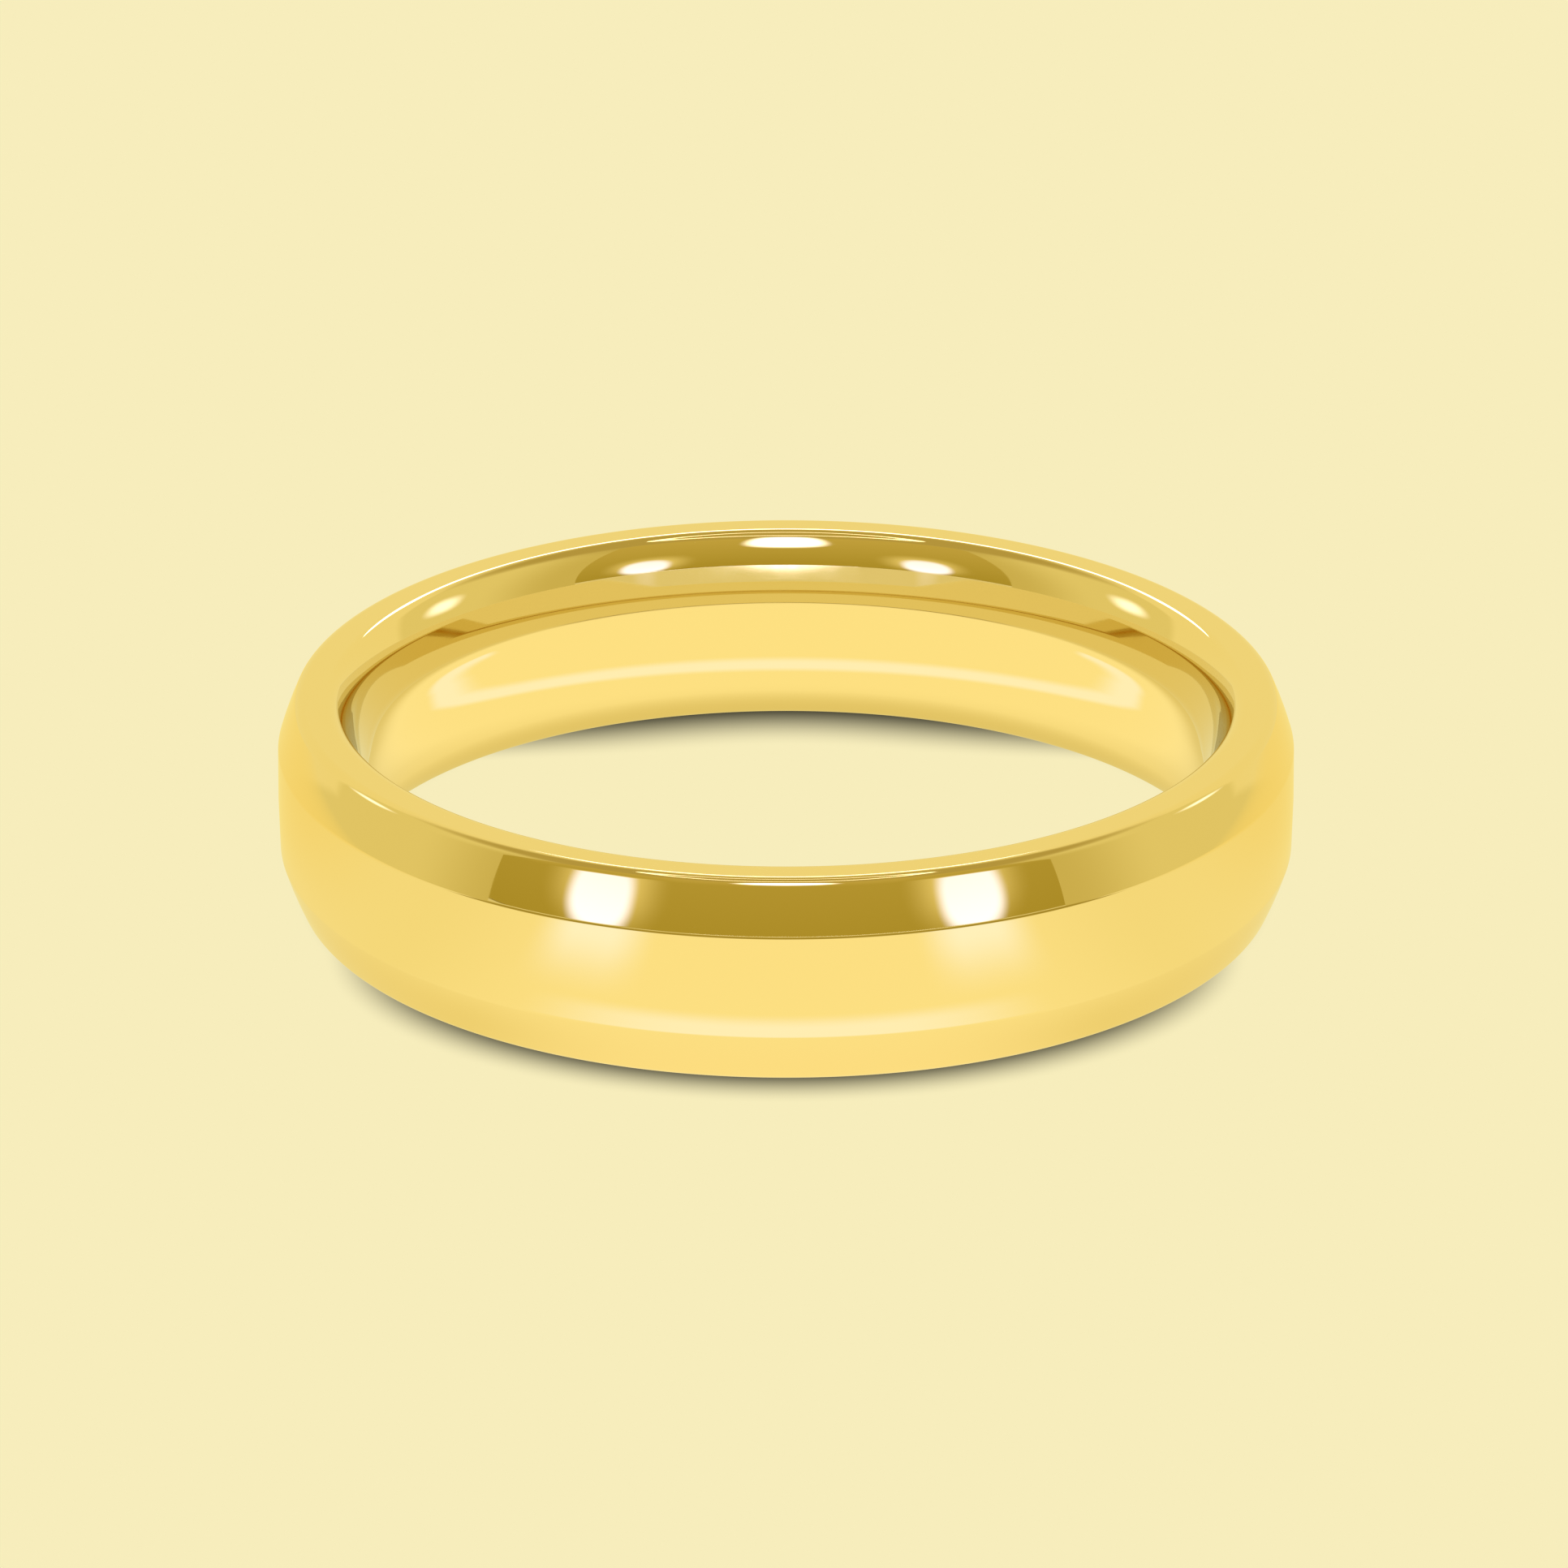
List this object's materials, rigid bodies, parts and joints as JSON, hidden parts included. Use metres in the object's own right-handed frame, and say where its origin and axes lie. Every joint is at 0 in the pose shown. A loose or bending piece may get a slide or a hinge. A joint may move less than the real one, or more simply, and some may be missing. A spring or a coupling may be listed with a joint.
{
  "type": "wedding band",
  "caption": "Plain polished gold wedding band with a flat outer face, bevelled edges and a comfort-fit bore.",
  "frame": {"origin": "centre of the bore, level with the lower flat edge that the band lies on", "axes": "+Z along the finger axis; the band is the same in every direction around it"},
  "size_m": [0.0196, 0.0196, 0.004],
  "materials": {
    "gold": "mirror polished"
  },
  "bodies": {
    "root": {"band": "gold"}
  },
  "joints": []
}
